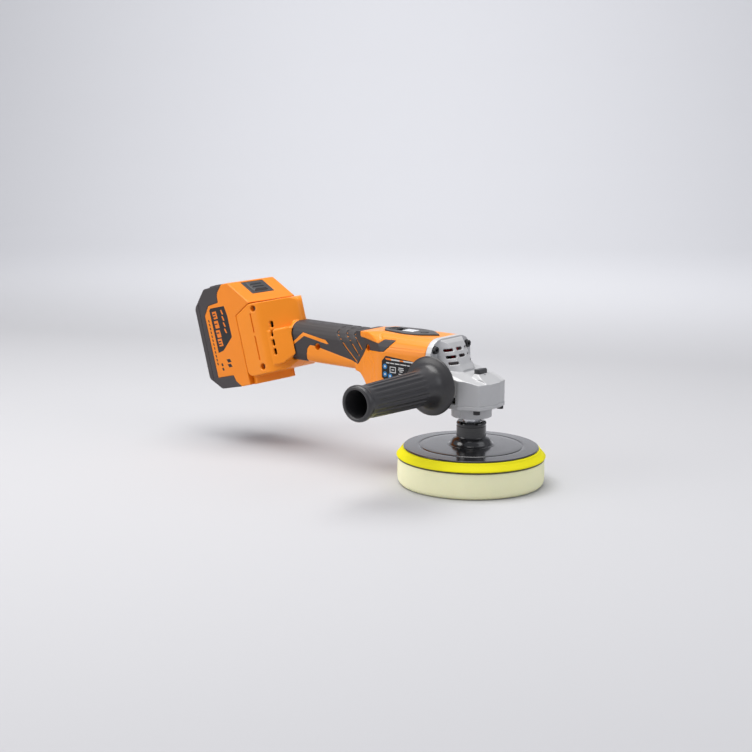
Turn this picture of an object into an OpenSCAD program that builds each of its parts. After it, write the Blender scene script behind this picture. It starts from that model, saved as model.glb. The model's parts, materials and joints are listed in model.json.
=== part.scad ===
// Cordless rotary polisher: angle head, side handle, foam pad and slide-on battery.
// The origin is the middle of the pad's working face. +Z is up the spindle, +X points
// from the battery to the head, and +Y is the tool's left side.

/* [Pad and backing plate] */
// Radius of the foam pad
pad_r = 74; // [60:1:76]
// Thickness of the foam pad
pad_h = 26.3; // [15:0.1:26.3]
// Radius of the cushion under the backing plate
cushion_r = 75; // [70:1:80]
// Radius of the backing plate
plate_r = 68; // [60:1:70]
// Height of the backing plate's underside above the working face
plate_z = 36; // [36:0.5:37]
// Radius of the backing plate's hub
hub_r = 15; // [14:0.5:16]
// Top of the backing plate's hub
hub_top = 63.5; // [62:0.5:64]

/* [Gear head] */
// Underside of the gear case
case_z = 83.5; // [83:0.5:84]
// Underside of the spindle flange
flange_z = 79.5; // [79:0.5:80]
// Underside of the collar round the spindle
collar_z = 68.5; // [68:0.5:69]
// Height of the motor's axis
motor_z = 106; // [106:0.5:106.5]
// Teeth on the ring gear
ring_teeth = 41; // [41:1:41]
// Teeth on the pinion
pinion_teeth = 9; // [9:1:9]
// Pitch radius of the ring gear
ring_r = 22; // [22:0.1:22]

/* [Side handle] */
// Distance of the handle's axis behind the spindle
handle_x = -18.9; // [-19.5:0.1:-18]
// Height of the handle's axis
handle_z = 103; // [102:0.5:104]
// Far end of the handle, measured from the tool's centre plane
handle_end = 159; // [140:1:170]
// Radius of the handle's guard flange
guard_r = 29.7; // [25:0.1:30]
// Nominal radius of the handle's thread
thread_r = 4; // [4:0.5:5]

/* [Motor housing and grip] */
// Joint plane between the gear case and the plastic housing
front_x = -33.5; // [-34:0.5:-33]
// Half of the motor housing's width
body_half = 34; // [34:0.5:36]
// Wall thickness of the plastic shells
wall = 2.8; // [2.4:0.1:3]

/* [Battery and foot] */
// Lean of the battery foot
foot_lean = 16; // [16:1:16]
// Half of the foot's and battery's width
foot_half = 37; // [37:0.5:38]

/* [Travel] */
// Stroke of the spindle lock
lock_stroke = 2.8; // [2.5:0.1:2.8]
// Stroke of the power slide
slide_stroke = 5; // [3:0.5:5]

/* [Hidden] */
$fn = 64;
fit = 0.05;
skin = 1.4;

// Spindle stack heights
bearing_z = 71;
bearing_h = 11;
bearing_r = 17.5;
shaft_r = 7.5;
journal_r = 5;
gear_z0 = 83;
ring_z = motor_z - 4.83;
spindle_top = 106.6;
clip_z = [99.3, 100.3];

// Bevel gear pair
pitch_angle = atan(ring_teeth / pinion_teeth);
cone = ring_r / sin(pitch_angle);
face_w = 6;

// Motor places along X
front_bearing = [-34, -26.2];
rear_bearing = [-113, -107];
fan_x = [-47, -39];
stack_x = [-94, -56];
stator_r = 23;
stator_bore = 14.6;
rotor_r = 14;

// Lock
lock_x = 11;
lock_r = 2.5;
lock_floor = 108.2;
lock_tip = 101.2;
lock_cap_r = 7;
lock_base = lock_floor + lock_stroke + 1.4;

// Outlines are lists of [x, y, corner radius], anticlockwise
motor_side = [[front_x, 79.5, 0], [front_x, 145, 0], [-104, 145.6, 8], [-125, 143, 6],
  [-136, 142.5, 0], [-136, 100.6, 0], [-129, 99, 5], [-121, 90, 8], [-112, 82, 12], [-96, 79.5, 10]];
motor_plan = [[front_x, -34, 0], [front_x, 34, 0], [-92, 34, 20], [-124, 20, 20], [-136, 19, 0],
  [-136, -19, 0], [-124, -20, 20], [-92, -34, 20]];
motor_section = [[-34, 79.5, 16], [34, 79.5, 16], [34, 145.6, 18], [-34, 145.6, 18]];
grip_side = [[-132, 100.6, 0], [-132, 142.5, 0], [-230, 142.5, 0], [-230, 100.6, 0]];
grip_section = [[-19, 100.4, 9], [19, 100.4, 9], [19, 142.5, 13], [-19, 142.5, 13]];
foot_side = [[-240, 150.5, 7], [-194, 150.5, 12], [-174.5, 166, 16], [-174.5, 206, 16], [-178, 226, 8],
  [-219, 228, 2], [-240, 219, 2]];
foot_plan = [[-240, -37, 0], [-208, -37, 14], [-176, -3.4, 7], [-176, 3.4, 7], [-208, 37, 14],
  [-240, 37, 0]];
// Fairing that runs from the foot into the grip
neck_side = [[-214, 157.5, 0], [-194, 157.5, 12], [-172.5, 169, 14], [-172.5, 188, 8],
  [-178, 194.4, 8], [-214, 194.4, 0]];
neck_plan = [[-214, -33, 0], [-204, -33, 12], [-178, -19.4, 10], [-172.5, -9, 8], [-172.5, 9, 8],
  [-178, 19.4, 10], [-204, 33, 12], [-214, 33, 0]];
skin_side = [[-226, 101, 0], [-205.5, 101, 0], [-204, 107.5, 3], [-203.2, 115.8, 3], [-199.5, 120, 0],
  [-194.2, 120, 0], [-183, 118.2, 0], [-140.6, 110.5, 0], [-132.6, 107.3, 0], [-119.5, 126.2, 0],
  [-112.5, 125.3, 0], [-86.6, 127.7, 0], [-74, 140.2, 0], [-88.8, 139.8, 0], [-94.8, 135.3, 0],
  [-128.9, 136.8, 2], [-129.2, 145, 0], [-226, 145, 0]];
panel_outline = [[-112, 0, 0.8], [-102, -13, 10], [-74, -17, 26], [-58, -14, 16], [-41, 0, 0.8],
  [-58, 14, 16], [-74, 17, 26], [-102, 13, 10]];
// Side view of the dark band round the end of the battery
band_side = [[-305, 130], [-254.4, 130], [-254.4, 142.9], [-260.7, 149.2], [-262.7, 156], [-286.8, 156.9],
  [-287.4, 227], [-279, 236.8], [-263.3, 237.7], [-262.7, 245.3], [-261, 248.8], [-253.4, 255.4],
  [-253.4, 265], [-305, 265]];
pack_side = [[-300.4, 158, 6], [-284, 144, 6], [-251, 142, 3], [-240.4, 142, 0], [-240.4, 219.2, 0],
  [-219.6, 228.4, 0], [-216, 229, 0], [-243, 256, 3], [-281, 256, 4], [-300.4, 238, 8]];
// Screws of the shell: [x, z, y under the head]
boss_points = [[-115.2, 126.9, -14], [-188.7, 119, -9]];
skin_rear = -226;
ledge_side = [[-240, 141.5, 0], [-209, 141.5, 3], [-205, 146, 0], [-205, 153, 0], [-240, 153, 0]];
ledge_plan = [[-240, -31, 0], [-235, -31, 4], [-208, -2, 3], [-208, 2, 3], [-235, 31, 4], [-240, 31, 0]];
foot_boss_points = [[-213, 222, -30], [-216, 158.5, -30]];
flange_points = [[-20.5, -20], [20.5, -20], [-20.5, 20], [20.5, 20]];
front_posts = [[-27, 135.5], [27, 135.5], [-28, 88], [28, 88]];
label_outline = [[-88.4, 118.5, 1], [-88.2, 101.5, 1], [-84.5, 99.5, 1], [-50, 93.5, 1], [-48, 95, 1],
  [-48, 122, 1], [-83.5, 124.2, 1]];

// A unit vector, and one corner of an outline as an arc of six points
function unit(v) = v / norm(v);
function arc(a, b, c, r, n = 5) = r <= 0 ? [b] :
  let (u = unit(a - b), w = unit(c - b), half = acos(max(-0.9999, min(0.9999, u * w))) / 2,
    mid = b + unit(u + w) * r / sin(half), from = b + u * r / tan(half) - mid,
    to = b + w * r / tan(half) - mid, start = atan2(from[1], from[0]),
    turn = ((atan2(to[1], to[0]) - start + 540) % 360) - 180)
  [for (i = [0:n]) mid + r * [cos(start + turn * i / n), sin(start + turn * i / n)]];
// An outline moved inwards by d, then rounded
function at(p, i) = let (q = p[(i + len(p)) % len(p)]) [q[0], q[1]];
function area2(p) = [for (i = [0:len(p) - 1])
  at(p, i)[0] * at(p, i + 1)[1] - at(p, i + 1)[0] * at(p, i)[1]];
function total(v) = v * [for (x = v) 1];
function moved(p, d) = let (s = sign(total(area2(p)))) [for (i = [0:len(p) - 1])
  let (e1 = unit(at(p, i) - at(p, i - 1)), e2 = unit(at(p, i + 1) - at(p, i)),
    n1 = s * [-e1[1], e1[0]], n2 = s * [-e2[1], e2[0]], q = at(p, i) + d * (n1 + n2) / (1 + n1 * n2))
  [q[0], q[1], max(p[i][2] - d, 0)]];
function outline(p, d = 0) = let (q = moved(p, d))
  [for (i = [0:len(q) - 1]) each arc(at(q, i - 1), at(q, i), at(q, i + 1), q[i][2])];

// A side view (x, z) drawn across the width, a plan (x, y) drawn upwards, a section (y, z) drawn along X
module across(half, from = undef) {
  translate([0, half, 0]) rotate([90, 0, 0])
    linear_extrude(is_undef(from) ? 2 * half : half - from) children();
}
module upright(z0, z1) {
  translate([0, 0, z0]) linear_extrude(z1 - z0) children();
}
module along(x0, x1) {
  translate([x0, 0, 0]) rotate([90, 0, 90]) linear_extrude(x1 - x0) children();
}
// A cylinder along X, along Y or in the foot's leaning frame
module rod_x(r, x0, x1) {
  translate([x0, 0, motor_z]) rotate([0, 90, 0]) cylinder(r = r, h = x1 - x0);
}
module tube_x(r1, r0, x0, x1) {
  difference() {
    rod_x(r1, x0, x1);
    rod_x(r0, x0 - 1, x1 + 1);
  }
}
module rod_y(x, z, r, y0, y1) {
  translate([x, y0, z]) rotate([-90, 0, 0]) cylinder(r = r, h = y1 - y0);
}
module leaning() {
  rotate([0, -foot_lean, 0]) children();
}
module tube_z(r1, r0, z0, z1) {
  translate([0, 0, z0]) difference() {
    cylinder(r = r1, h = z1 - z0);
    translate([0, 0, -1]) cylinder(r = r0, h = z1 - z0 + 2);
  }
}
// A box from its low corner to its high corner
module box(a, b) {
  translate(a) cube(b - a);
}
// A round lead carried along a list of points
module lead(path, r, sides = 8) {
  last = len(path) - 1;
  dirs = [for (i = [0:last]) unit(path[min(i + 1, last)] - path[max(i - 1, 0)])];
  up = [0, 1, 0];
  rings = [for (i = [0:last]) let (u = unit(cross(dirs[i], up)), v = cross(dirs[i], u))
    for (k = [0:sides - 1]) path[i] + r * (cos(360 * k / sides) * u + sin(360 * k / sides) * v)];
  walls = [for (i = [0:last - 1]) for (k = [0:sides - 1]) let (j = (k + 1) % sides)
    [i * sides + k, (i + 1) * sides + k, (i + 1) * sides + j, i * sides + j]];
  polyhedron(rings, concat([[for (k = [0:sides - 1]) k]], walls,
    [[for (k = [sides - 1:-1:0]) last * sides + k]]));
}

// Outer form of the plastic shells, moved inwards by d
module motor_form(d) {
  intersection() {
    across(40) polygon(outline(motor_side, d));
    upright(60, 170) polygon(outline(motor_plan, d));
    along(-140, -20) polygon(outline(motor_section, d));
  }
}
module grip_form(d) {
  intersection() {
    across(40) polygon([for (p = grip_side) [p[0], p[1]]]);
    along(-231, -131) polygon(outline(grip_section, d));
  }
}
module foot_form(d) {
  leaning() intersection() {
    across(40) polygon(outline(foot_side, d));
    upright(130, 250) polygon(outline(foot_plan, d));
  }
  leaning() intersection() {
    across(40) polygon(outline(neck_side, d));
    upright(130, 250) polygon(outline(neck_plan, d));
  }
}
module foot_ledge() {
  leaning() intersection() {
    across(33) polygon(outline(ledge_side));
    upright(130, 160) polygon(outline(ledge_plan));
  }
}
module shell_form(d) {
  motor_form(d);
  grip_form(d);
  foot_form(d);
}
// Room inside the shells: open at the gear case and, above the foot's floor, at the battery
module shell_room() {
  shell_form(wall);
  along(front_x - wall - 1, front_x + 1) polygon(outline(motor_section, wall));
  leaning() box([-241, -27, 162], [-236, 27, 214]);
}
// What both halves of the shell lose: openings for the panel, the vents, screws and the label's seat
module shell_cuts() {
  upright(141, 150) polygon(outline(panel_outline));
  for (side = [-1, 1]) {
    leaning() {
      for (k = [0:3]) box([-200.8, side > 0 ? 22 : -40, 168 + 9.9 * k],
        [-198, side > 0 ? 40 : -22, 175 + 9.9 * k]);
      box([-218.5, side > 0 ? 36.2 : -38, 166], [-217.5, side > 0 ? 38 : -36.2, 192.7]);
      box([-218.5, side > 0 ? 36.2 : -38, 196.5], [-217.5, side > 0 ? 38 : -36.2, 217.6]);
    }
  }
}
module screw_towers(r) {
  for (p = boss_points) rod_y(p[0], p[1], r, -32, 32);
  leaning() for (p = foot_boss_points) rod_y(p[0], p[1], r, -35, 35);
}
// Posts behind the front plane that the gear case is screwed to
module posts(r, x0, x1) {
  for (p = front_posts) translate([x0, p[0], p[1]]) rotate([0, 90, 0]) cylinder(r = r, h = x1 - x0);
}
// Bulkheads that hold the motor, the rear bearing and the boards
module bulkheads() {
  intersection() {
    motor_form(1);
    difference() {
      union() {
        box([-58, -40, 70], [-55.4, 40, 150]);
        box([-94.6, -40, 70], [-92, 40, 150]);
        box([-113.6, -40, 70], [-106.4, 40, 150]);
      }
      rod_x(stator_r + fit, -95, -50);
      rod_x(9.5, -113, -107);
      rod_x(4.5, -114, -106);
      box([-113, -40, 135.8], [-50, 40, 150]);
      for (side = [-1, 1]) translate([0, side * 14, 124]) box([-120, -5, -4], [-50, 5, 9]);
    }
  }
}
module housing_half(side) {
  difference() {
    intersection() {
      union() {
        difference() {
          shell_form(0);
          shell_room();
        }
        foot_ledge();
        bulkheads();
        intersection() {
          shell_form(1);
          posts(4.6, -46, front_x);
        }
        intersection() {
          shell_form(1);
          screw_towers(4.2);
        }
      }
      box([-320, side > 0 ? 0 : -45, 60], [0, side > 0 ? 45 : 0, 200]);
    }
    shell_cuts();
    grip_skin_space();
    screw_towers(1.55);
    posts(2.05, -45, front_x + 1);
    for (p = boss_points) rod_y(p[0], p[1], 3.2, -40, p[2]);
    leaning() for (p = foot_boss_points) rod_y(p[0], p[1], 3.4, -40, p[2]);
    rod_x(stator_r + fit, -95, -50);
  }
}
module grip_skin_space() {
  intersection() {
    difference() {
      across(40) polygon(outline(skin_side));
      shell_skin_core(skin);
    }
    union() {
      motor_form(-1);
      grip_form(-1);
    }
    box([skin_rear, -40, 90], [-70, 40, 145]);
  }
}
module shell_skin_core(d) {
  motor_form(d);
  grip_form(d);
}
module grip_skin(side) {
  intersection() {
    across(40) polygon(outline(skin_side));
    box([skin_rear, side > 0 ? 0 : -40, 90], [-70, side > 0 ? 40 : 0, 145]);
    difference() {
      shell_skin_core(0);
      shell_skin_core(skin);
      for (p = boss_points) rod_y(p[0], p[1], 4, -40, 40);
    }
  }
}

module housing_right() {
  color("darkorange") housing_half(-1);
}
module housing_left() {
  color("darkorange") housing_half(1);
}
module grip_skin_right() {
  color("dimgray") grip_skin(-1);
}
module grip_skin_left() {
  color("dimgray") grip_skin(1);
}
module pan_screw(x, z, y0, y1) {
  rod_y(x, z, 1.5, y0, y1);
  difference() {
    rod_y(x, z, 2.9, y0 - 2, y0);
    rod_y(x, z, 1.2, y0 - 3, y0 - 0.8);
  }
}
module housing_screws() {
  color("gray") {
    for (p = boss_points) pan_screw(p[0], p[1], p[2], 6);
    leaning() for (p = foot_boss_points) pan_screw(p[0], p[1], p[2], -10);
  }
}

// Gear case: faceted head, sloping vent cowl, turret beside the lock button and rear flange
head_plan = [[-33, -30, 0], [4, -30, 3], [24.5, -22.3, 2], [28.5, -8, 8], [28.5, 8, 8], [24.5, 22.3, 2],
  [4, 30, 3], [-33, 30, 0]];
head_top = [[-30, 80], [30, 80], [30, 105.8], [27, 107.6], [11, 108.8], [-11, 108.8], [-27, 107.6],
  [-30, 105.8]];
cowl_side = [[front_x, 80], [front_x, 145], [-25, 143.6], [-21, 141], [-15.5, 133.8], [-8, 120.3],
  [-1, 112], [-1, 80]];
cowl_plan = [[front_x, -34, 0], [-29, -34, 0], [-26, -27, 6], [-9, -19, 4], [-4, -12, 8], [-4, 12, 8],
  [-9, 19, 4], [-26, 27, 6], [-29, 34, 0], [front_x, 34, 0]];
duct_side = [[-40, 120.8], [-40, 140.4], [-22.4, 140.4], [-9, 121.2], [-9.4, 120.8]];
head_tilt = 14.5;
// The cowl's front is a round face that leans back
cowl_axis = [-34.8, 120.3];
cowl_lean = 28.8;
cowl_r = 26;
vent_z = [133.8, 127, 120.6];
module cowl_round(r) {
  translate([cowl_axis[0], 0, cowl_axis[1]]) rotate([0, -cowl_lean, 0])
    translate([0, 0, -40]) cylinder(r = r, h = 80);
}
module case_form() {
  intersection() {
    upright(case_z, 125) polygon(outline(head_plan));
    rotate([0, head_tilt, 0]) along(-60, 60) polygon(head_top);
  }
  intersection() {
    across(40) polygon(cowl_side);
    upright(flange_z, 150) polygon(outline(cowl_plan));
    along(-40, 10) polygon(outline(motor_section));
    box([-40, -40, case_z], [10, 40, 150]);
    cowl_round(cowl_r);
  }
  intersection() {
    along(front_x, -27) polygon(outline(motor_section));
    box([-40, -40, flange_z], [-27, 40, 150]);
  }
  turret();
}
module turret() {
  intersection() {
    across(14) polygon([[8, 100], [27.3, 100], [26.6, 105.8], [14, 113.3], [9, 113.3], [8, 112]]);
    along(0, 40) polygon([[-13, 100], [13, 100], [13, 109], [9.5, 113.3], [-9.5, 113.3], [-13, 109]]);
    upright(90, 130) polygon(outline(head_plan));
  }
}
module vent_slots() {
  for (row = [0:2], col = [-1:1])
    if (row < 2 || col != 0)
      translate([-26, 14 * col, vent_z[row]]) rotate([0, -6, 0]) box([0, -4.6, -1.4], [26, 4.6, 1.4]);
}
module gear_case() {
  color("silver") difference() {
    case_form();
    translate([0, 0, case_z - 1]) cylinder(r = 25.2, h = ring_z + 2.6 - case_z + 1);
    rod_x(7.6, -26.5, -12.5);
    rod_x(13, front_x - 1, -26.2);
    translate([0, 0, ring_z]) cylinder(r = 8, h = spindle_top + 0.3 - ring_z);
    translate([lock_x, 0, 90]) cylinder(r = lock_r + fit, h = 30);
    intersection() {
      translate([lock_x, 0, lock_floor]) cylinder(r = lock_cap_r + 0.3, h = 20);
      box([0, -20, 100], [13.8, 20, 140]);
    }
    translate([lock_x, 0, lock_floor]) cylinder(r = 4.7, h = lock_base - lock_floor + 0.1);
    intersection() {
      across(17) polygon(duct_side);
      cowl_round(cowl_r - 2.2);
    }
    vent_slots();
    rod_y(handle_x, handle_z, thread_r, -41, -19);
    rod_y(handle_x, handle_z, thread_r, 19, 41);
    for (p = front_posts) {
      translate([-40, p[0], p[1]]) rotate([0, 90, 0]) cylinder(r = 2.2, h = 20);
      translate([-28.5, p[0], p[1]]) rotate([0, 90, 0]) cylinder(r = 4, h = 30);
    }
    for (p = flange_points) translate([p[0], p[1], 80]) cylinder(r = 2, h = 14);
  }
}
module gear_case_screws() {
  color("dimgray") for (p = front_posts) translate([0, p[0], p[1]]) rotate([0, 90, 0]) {
    translate([0, 0, -44]) cylinder(r = 2, h = 15.5);
    difference() {
      translate([0, 0, -28.5]) cylinder(r = 3.6, h = 4.5);
      translate([0, 0, -26.5]) cylinder(r = 1.7, h = 5, $fn = 6);
    }
  }
}
module air_baffle() {
  color("crimson") difference() {
    union() {
      along(-37.5, -35.2) polygon(outline(motor_section, wall + 0.2));
      intersection() {
        across(15) polygon([[-36, 130], [-26.5, 130], [-27.5, 138.6], [-36, 138.6]]);
        box([-40, 4.5, 80], [-10, 12, 150]);
      }
    }
    rod_x(21, -38, -35);
    box([-40, -40, 142.2], [-30, 40, 150]);
    for (p = front_posts) translate([-40, p[0], p[1]]) rotate([0, 90, 0]) cylinder(r = 5, h = 6);
    box([-38, -15, 128], [-35, 3.5, 140]);
  }
}
module bearing_flange() {
  color("silver") difference() {
    union() {
      intersection() {
        translate([0, 0, flange_z]) cylinder(r = 33.2, h = case_z - flange_z);
        upright(70, 90) polygon(outline(head_plan, -0.25));
        box([-26.8, -40, 70], [40, 40, 90]);
      }
      translate([0, 0, collar_z]) cylinder(r = 20.3, h = flange_z - collar_z + 1);
    }
    translate([0, 0, bearing_z]) cylinder(r = bearing_r, h = 20);
    translate([0, 0, collar_z - 1]) cylinder(r = 13, h = 10);
    box([-0.6, -21, 68], [0.6, -19.6, 76]);
    for (p = flange_points) translate([p[0], p[1], 70]) cylinder(r = 2.2, h = 20);
  }
}
module flange_screws() {
  color("dimgray") for (p = flange_points) translate([p[0], p[1], 0]) {
    translate([0, 0, flange_z]) cylinder(r = 1.95, h = 12);
    difference() {
      translate([0, 0, flange_z - 4]) cylinder(r = 3.5, h = 4);
      translate([0, 0, flange_z - 5]) cylinder(r = 1.6, h = 3.4, $fn = 6);
    }
  }
}
module ball_ring(r, n, ball_r) {
  for (i = [0:n - 1]) rotate([0, 0, 360 * i / n]) translate([r, 0, 0]) sphere(r = ball_r, $fn = 24);
}
module spindle_bearing() {
  color("lightgray") {
    tube_z(bearing_r, 14.4, bearing_z, bearing_z + bearing_h);
    translate([0, 0, bearing_z + bearing_h / 2]) ball_ring(12.5, 9, 1.85);
  }
}
module spindle_race() {
  color("lightgray") tube_z(10.6, shaft_r, bearing_z, bearing_z + bearing_h);
}
module needle_bush() {
  color("darkkhaki") tube_z(8, journal_r + fit, ring_z + 1.6, spindle_top - 0.2);
}
module spindle_seal() {
  color("black") tube_z(13, 9 + fit, collar_z + 0.3, bearing_z - 0.2);
}

// Side handle: hollow grip with a guard flange, ribs, neck and moulded-in stud
module side_handle() {
  grip = [[30.6, 0], [30.6, 7.6], [34.4, 7.6], [34.4, 11.8], [40.5, 12.4], [42, guard_r - 1],
    [43, guard_r], [45.6, guard_r],
    [46.8, guard_r - 1.2], [47.6, 23], [51, 19], [58, 17.2], [75, 16.8], [135, 15.6], [150, 15],
    [152, 17.2], [155, 17.6], [158, 17.2], [handle_end, 16], [handle_end, 13.2]];
  hollow = [[handle_end, 13.2], [92, 12], [90, 10], [90, 0]];
  color("black") difference() {
    translate([handle_x, 0, handle_z]) rotate([90, 0, 0]) rotate_extrude()
      polygon([for (p = concat(grip, hollow)) [p[1], p[0]]]);
    rod_y(handle_x, handle_z, thread_r, -76, -30);
    for (k = [0:17]) translate([handle_x, 0, handle_z]) rotate([0, 20 * k, 0])
      translate([-0.7, -133, 15.6]) cube([1.4, 56, 3]);
  }
}
module handle_stud() {
  color("silver") {
    rod_y(handle_x, handle_z, thread_r, -75.8, -20.5);
  }
}

// Motor
module stator_core() {
  color("slategray") difference() {
    rod_x(stator_r, stack_x[0], stack_x[1]);
    rod_x(stator_bore, stack_x[0] - 1, stack_x[1] + 1);
    for (k = [0:8]) translate([0, 0, motor_z]) rotate([40 * k, 0, 0]) translate([-100, -2.2, 15.8])
      cube([60, 4.4, 4.6]);
  }
}
module stator_coils() {
  color("peru") for (k = [0:8]) translate([0, 0, motor_z]) rotate([40 * k, 0, 0]) {
    box([stack_x[0] - 4, -1.9, 16], [stack_x[1] + 4, 1.9, 20.2]);
    for (x = [stack_x[0] - 4, stack_x[1] + 0.4]) box([x, 1.9, 16], [x + 3.6, 6.8, 20.2]);
  }
}
module sensor_board() {
  color("darkgreen") tube_x(22, 8, -103.4, -101.8);
}
module bearing_x(x0, x1, r, race_r, ball_r, n) {
  tube_x(r, race_r, x0, x1);
  translate([(x0 + x1) / 2, 0, motor_z]) rotate([0, 90, 0]) ball_ring(race_r - ball_r - 0.05, n, ball_r);
}
module rotor_bearings() {
  color("lightgray") {
    bearing_x(front_bearing[0], front_bearing[1], 13, 10.6, 1.55, 8);
    bearing_x(rear_bearing[0], rear_bearing[1], 9.5, 7.8, 1.2, 7);
  }
}
module rotor_races() {
  color("lightgray") {
    tube_x(7.4, 5, front_bearing[0], front_bearing[1]);
    tube_x(5.3, 3, rear_bearing[0], rear_bearing[1]);
  }
}
module rotor_shaft() {
  color("silver") {
    rod_x(3, -113, -105);
    rod_x(5, -105, -26);
    rod_x(2.4, -26, -15.8);
  }
}
module rotor_core() {
  color("gray") tube_x(12, 5, stack_x[0], stack_x[1]);
}
module rotor_magnets() {
  color("darkslategray") for (k = [0:3]) intersection() {
    tube_x(rotor_r, 12 + fit, stack_x[0] + 1, stack_x[1] - 1);
    translate([0, 0, motor_z]) rotate([90 * k, 0, 0]) along(-100, -50)
      polygon([[0, 0], [20, 17], [30, 0], [20, -17]]);
  }
}
module cooling_fan() {
  color("dimgray") {
    tube_x(8, 5, fan_x[0], fan_x[1]);
    tube_x(21.5, 5, fan_x[0], fan_x[0] + 1.4);
    for (k = [0:10]) translate([0, 0, motor_z]) rotate([360 * k / 11, 0, 0])
      box([fan_x[0] + 1.3, -0.7, 7.5], [fan_x[1], 0.7, 21]);
  }
}

// Bevel gears. A tooth is a wedge that narrows towards the cone's apex, where both axes meet.
module bevel_tooth(teeth, angle, root_half, tip_half, root_drop, tip_rise) {
  far = cone;
  near = cone - face_w;
  ends = [for (c = [near, far]) let (s = c / cone)
    for (q = [[-root_half, -root_drop], [root_half, -root_drop],
    [tip_half, tip_rise], [-tip_half, tip_rise]]) [s * (ring_side(angle, c / s)[0] + q[1] * cos(angle)),
    s * q[0], s * (ring_side(angle, c / s)[1] + q[1] * sin(angle))]];
  polyhedron(ends, [[0, 1, 2, 3], [7, 6, 5, 4], [0, 4, 5, 1], [1, 5, 6, 2], [2, 6, 7, 3], [3, 7, 4, 0]]);
}
// The pitch point at the large end for a cone of half-angle a about +Z, apex at the origin
function ring_side(a, c) = [c * sin(a), -c * cos(a)];
module ring_gear() {
  color("gray") translate([0, 0, motor_z]) {
    difference() {
      union() {
        rotate_extrude() polygon([[shaft_r, -12], [21.8, -11], [23.2, -6.6], [22.3, -5.9],
          [15.4, -4.75], [shaft_r, -4.75 - 2.2]]);
        translate([0, 0, gear_z0 - motor_z]) cylinder(r = 12, h = 12);
      }
      translate([0, 0, -30]) cylinder(r = shaft_r + fit / 2, h = 40);
      for (k = [0:7]) rotate([0, 0, 45 * k]) translate([lock_x, 0, -20]) cylinder(r = lock_r + 0.4, h = 30);
      box([shaft_r - 2, -2, gear_z0 - motor_z - 1], [shaft_r + 2, 2, 0]);
    }
    for (k = [0:ring_teeth - 1]) rotate([0, 0, 180 + 360 * (k + 0.5) / ring_teeth])
      bevel_tooth(ring_teeth, pitch_angle, 0.8, 0.36, 1.15, 0.8);
  }
}
module gear_key() {
  color("silver") box([5.02, -1.98, 86.02], [shaft_r + 1.9, 1.98, 96.98]);
}
module pinion() {
  color("gray") translate([0, 0, motor_z]) rotate([0, 90, 0]) {
    difference() {
      rotate_extrude() polygon([[2.4, -23.2], [3.75, -22.3], [2.75, -15.9], [2.4, -15.9]]);
      translate([0, 0, -40]) cylinder(r = 2.4, h = 40);
    }
    for (k = [0:pinion_teeth - 1]) rotate([0, 0, 360 * k / pinion_teeth])
      bevel_tooth(pinion_teeth, 90 - pitch_angle, 0.78, 0.28, 1.35, 0.8);
  }
}
module spindle() {
  color("silver") difference() {
    union() {
      translate([0, 0, 47]) cylinder(r = 7, h = 17);
      translate([0, 0, hub_top]) cylinder(r = 9, h = bearing_z - hub_top);
      translate([0, 0, bearing_z]) cylinder(r = shaft_r, h = 99 - bearing_z);
      translate([0, 0, 99]) cylinder(r = journal_r, h = spindle_top - 99);
    }
    box([5, -2, 86], [shaft_r + 1, 2, 97]);
    for (side = [-1, 1]) box([side > 0 ? 7.6 : -12, -12, 64.5], [side > 0 ? 12 : -7.6, 12, 68]);
    tube_z(6, 4.6, clip_z[0] - 0.1, clip_z[1] + 0.1);
  }
}
module spindle_clip() {
  color("dimgray") difference() {
    tube_z(7.4, 4.6, clip_z[0], clip_z[1]);
    box([-12, -2.5, 95], [-3, 2.5, 105]);
  }
}

// Backing plate, cushion and foam pad
module backing_plate() {
  color([0.1, 0.1, 0.11]) difference() {
    rotate_extrude() polygon(concat(
      [[0, plate_z], [plate_r - 1.2, plate_z], [plate_r, plate_z + 0.8], [plate_r - 0.6, plate_z + 1.6]],
      [[53.2, 37.75], [52.6, 37.35], [51.4, 37.35], [50.8, 37.8], [26, 38.5], [20.5, 39.6], [19, 42],
      [18.4, 44.5], [16.2, 46.6], [hub_r, 47], [hub_r, 59], [hub_r - 0.5, 59.2], [hub_r - 0.5, 60.4],
      [hub_r, 60.6], [hub_r, hub_top - 1.2], [hub_r - 1.2, hub_top], [0, hub_top]]));
    translate([0, 0, 44]) cylinder(r = 10, h = 30);
    for (a = [0:60:300]) rotate([0, 0, a + 25]) box([11.4, -1.6, 61], [20, 1.6, 70]);
  }
}
module hub_insert() {
  color("silver") difference() {
    translate([0, 0, 44]) cylinder(r = 10, h = hub_top - 44 - 0.6);
    translate([0, 0, 46]) cylinder(r = 7, h = 30);
  }
}
module plate_cushion() {
  color("yellow") rotate_extrude() polygon([[0, 27.9], [cushion_r - 0.8, 27.9], [cushion_r, 28.6],
    [cushion_r - 0.3, 29.6], [69.6, 35.2], [68.2, plate_z], [0, plate_z]]);
}
module hook_disc() {
  color([0.15, 0.15, 0.12]) translate([0, 0, 27.1]) cylinder(r = 74.4, h = 0.8, $fn = 96);
}
module pad_loop() {
  color([0.3, 0.3, 0.2]) translate([0, 0, pad_h]) cylinder(r = pad_r, h = 27.1 - pad_h, $fn = 96);
}
module foam_pad() {
  round_r = 4.5;
  color([0.92, 0.93, 0.78]) rotate_extrude($fn = 96) polygon(concat([[0, 0]],
    [for (a = [-90:18:0]) [pad_r - round_r + round_r * cos(a), round_r + round_r * sin(a)]],
    [[pad_r, pad_h], [0, pad_h]]));
}

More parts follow.
